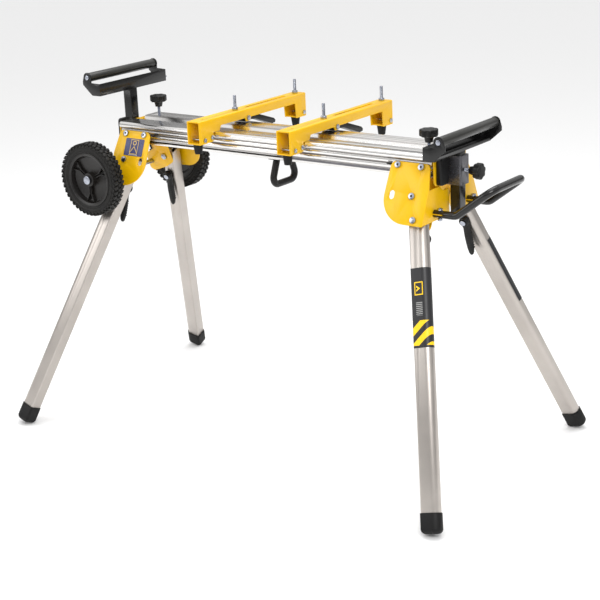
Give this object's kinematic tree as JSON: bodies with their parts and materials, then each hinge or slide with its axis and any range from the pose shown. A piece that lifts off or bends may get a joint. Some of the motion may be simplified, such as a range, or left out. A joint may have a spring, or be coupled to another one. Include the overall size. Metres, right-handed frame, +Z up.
{
  "type": "mitre saw stand",
  "caption": "Folding wheeled stand for a mitre saw: aluminium beam, splayed legs, sliding clamp brackets, roller work rests on extension arms, tow and carry handles",
  "frame": {"origin": "On the floor at the centre of the four feet", "axes": "+X along the beam to the right, +Y to the back, +Z up"},
  "size_m": [1.304, 0.7444, 0.9048],
  "materials": {
    "polished_aluminium": "polished extrusion",
    "leg_aluminium": "satin drawn tube",
    "yellow_paint": "gloss powder coat",
    "black_plastic": "matt moulded",
    "black_rubber": "matt",
    "tyre_rubber": "matt tread",
    "roller_rubber": "satin sleeve",
    "black_steel": "gloss black paint",
    "dark_steel": "dark grey paint",
    "zinc": "zinc plated",
    "label_blue": "printed film"
  },
  "bodies": {
    "stand": {"beam_extrusion": "polished_aluminium", "groove_plugs": "black_plastic", "right_outer_plates": "yellow_paint", "left_outer_plates": "yellow_paint", "inner_plates": "yellow_paint", "stand_bolts": "zinc", "leg_pivots": "zinc", "plate_label": "label_blue", "wheel_axle": "zinc", "carry_handle": "black_steel", "tow_handle": "black_steel"},
    "front_wheel": {"front_tyre": "tyre_rubber", "front_rim": "black_plastic"},
    "back_wheel": {"back_tyre": "tyre_rubber", "back_rim": "black_plastic"},
    "right_front_leg_assembly": {"right_front_leg": "leg_aluminium", "right_front_foot": "black_rubber", "right_front_leg_lever_rivet": "zinc"},
    "right_front_lever_body": {"right_front_leg_lever": "black_plastic"},
    "right_back_leg_assembly": {"right_back_leg": "leg_aluminium", "right_back_foot": "black_rubber", "right_back_leg_lever_rivet": "zinc"},
    "right_back_lever_body": {"right_back_leg_lever": "black_plastic"},
    "left_front_leg_assembly": {"left_front_leg": "leg_aluminium", "left_front_foot": "black_rubber", "left_front_leg_lever_rivet": "zinc"},
    "left_front_lever_body": {"left_front_leg_lever": "black_plastic"},
    "left_back_leg_assembly": {"left_back_leg": "leg_aluminium", "left_back_foot": "black_rubber", "left_back_leg_lever_rivet": "zinc"},
    "left_back_lever_body": {"left_back_leg_lever": "black_plastic"},
    "right_arm": {"right_arm_tube": "dark_steel", "right_end_plate": "yellow_paint", "right_arm_cap": "black_plastic", "right_sleeve": "dark_steel"},
    "right_rest": {"right_post": "black_steel", "right_roller_frame": "black_steel", "right_roller_axle": "zinc"},
    "right_roller_body": {"right_roller": "roller_rubber"},
    "right_sleeve_knob_body": {"right_sleeve_knob": "black_plastic"},
    "right_arm_knob_body": {"right_arm_knob": "black_plastic"},
    "right_bracket": {"right_saw_bracket": "yellow_paint", "right_bracket_fasteners": "zinc", "right_cone_feet": "black_plastic"},
    "right_clamp": {"right_clamp_lever": "black_plastic"},
    "left_arm": {"left_arm_tube": "dark_steel", "left_end_plate": "yellow_paint", "left_arm_cap": "black_plastic", "left_sleeve": "dark_steel"},
    "left_rest": {"left_post": "black_steel", "left_roller_frame": "black_steel", "left_roller_axle": "zinc", "left_stop_finger": "zinc"},
    "left_roller_body": {"left_roller": "roller_rubber"},
    "left_sleeve_knob_body": {"left_sleeve_knob": "black_plastic"},
    "left_arm_knob_body": {"left_arm_knob": "black_plastic"},
    "left_bracket": {"left_saw_bracket": "yellow_paint", "left_bracket_fasteners": "zinc", "left_cone_feet": "black_plastic"},
    "left_clamp": {"left_clamp_lever": "black_plastic"}
  },
  "joints": [
    {"name": "front_wheel_turn", "type": "hinge", "parent": "stand", "child": "front_wheel", "pos_m": [-0.488, 0, 0.641], "axis": [0, 1, 0], "continuous": true},
    {"name": "back_wheel_turn", "type": "hinge", "parent": "stand", "child": "back_wheel", "pos_m": [-0.488, 0, 0.641], "axis": [0, 1, 0], "continuous": true},
    {"name": "right_front_leg_fold", "type": "hinge", "parent": "stand", "child": "right_front_leg_assembly", "pos_m": [0.44958, -0.09617, 0.62219], "axis": [0, 0.9205, -0.3907], "range_deg": [0, 105]},
    {"name": "right_front_lever_press", "type": "hinge", "parent": "right_front_leg_assembly", "child": "right_front_lever_body", "pos_m": [0.45855, -0.08781, 0.58302], "axis": [0, 0.9205, -0.3907], "range_deg": [0, 15], "stiffness_Nm_per_rad": 0.6},
    {"name": "right_back_leg_fold", "type": "hinge", "parent": "stand", "child": "right_back_leg_assembly", "pos_m": [0.44958, 0.09617, 0.62219], "axis": [0, 0.9205, 0.3907], "range_deg": [0, 105]},
    {"name": "right_back_lever_press", "type": "hinge", "parent": "right_back_leg_assembly", "child": "right_back_lever_body", "pos_m": [0.45855, 0.08781, 0.58302], "axis": [0, 0.9205, 0.3907], "range_deg": [0, 15], "stiffness_Nm_per_rad": 0.6},
    {"name": "left_front_leg_fold", "type": "hinge", "parent": "stand", "child": "left_front_leg_assembly", "pos_m": [-0.435, -0.07534, 0.67125], "axis": [0, -0.9205, 0.3907], "range_deg": [0, 105]},
    {"name": "left_front_lever_press", "type": "hinge", "parent": "left_front_leg_assembly", "child": "left_front_lever_body", "pos_m": [-0.45347, -0.08055, 0.60011], "axis": [0, -0.9205, 0.3907], "range_deg": [0, 15], "stiffness_Nm_per_rad": 0.6},
    {"name": "left_back_leg_fold", "type": "hinge", "parent": "stand", "child": "left_back_leg_assembly", "pos_m": [-0.435, 0.07534, 0.67125], "axis": [0, -0.9205, -0.3907], "range_deg": [0, 105]},
    {"name": "left_back_lever_press", "type": "hinge", "parent": "left_back_leg_assembly", "child": "left_back_lever_body", "pos_m": [-0.45347, 0.08055, 0.60011], "axis": [0, -0.9205, -0.3907], "range_deg": [0, 15], "stiffness_Nm_per_rad": 0.6},
    {"name": "right_arm_slide", "type": "slide", "parent": "stand", "child": "right_arm", "axis": [1, 0, 0], "range_m": [0, 0.05]},
    {"name": "right_rest_lift", "type": "slide", "parent": "right_arm", "child": "right_rest", "axis": [0, 0, 1], "range_m": [0, 0.092]},
    {"name": "right_roller_turn", "type": "hinge", "parent": "right_rest", "child": "right_roller_body", "pos_m": [0.5195, 0, 0.8177], "axis": [0, 1, 0], "continuous": true},
    {"name": "right_sleeve_knob_turn", "type": "hinge", "parent": "right_arm", "child": "right_sleeve_knob_body", "pos_m": [0.525, 0, 0.7304], "axis": [1, 0, 0], "continuous": true},
    {"name": "right_arm_knob_turn", "type": "hinge", "parent": "stand", "child": "right_arm_knob_body", "pos_m": [0.447, -0.047, 0.793], "axis": [0, 0, 1], "continuous": true},
    {"name": "right_bracket_slide", "type": "slide", "parent": "stand", "child": "right_bracket", "axis": [1, 0, 0], "range_m": [-0.09, 0.2]},
    {"name": "right_clamp_release", "type": "hinge", "parent": "right_bracket", "child": "right_clamp", "pos_m": [0.1025, 0.06, 0.785], "axis": [1, 0, 0], "range_deg": [0, 14]},
    {"name": "left_arm_slide", "type": "slide", "parent": "stand", "child": "left_arm", "axis": [-1, 0, 0], "range_m": [0, 0.33]},
    {"name": "left_rest_lift", "type": "slide", "parent": "left_arm", "child": "left_rest", "axis": [0, 0, 1], "range_m": [-0.05, 0.017]},
    {"name": "left_roller_turn", "type": "hinge", "parent": "left_rest", "child": "left_roller_body", "pos_m": [-0.5195, 0, 0.892], "axis": [0, 1, 0], "continuous": true},
    {"name": "left_sleeve_knob_turn", "type": "hinge", "parent": "left_arm", "child": "left_sleeve_knob_body", "pos_m": [-0.493, 0.032, 0.7304], "axis": [0, 1, 0], "continuous": true},
    {"name": "left_arm_knob_turn", "type": "hinge", "parent": "stand", "child": "left_arm_knob_body", "pos_m": [-0.428, 0.035, 0.793], "axis": [0, 0, 1], "continuous": true},
    {"name": "left_bracket_slide", "type": "slide", "parent": "stand", "child": "left_bracket", "axis": [1, 0, 0], "range_m": [-0.15, 0.09]},
    {"name": "left_clamp_release", "type": "hinge", "parent": "left_bracket", "child": "left_clamp", "pos_m": [-0.1707, 0.06, 0.785], "axis": [1, 0, 0], "range_deg": [0, 14]}
  ]
}
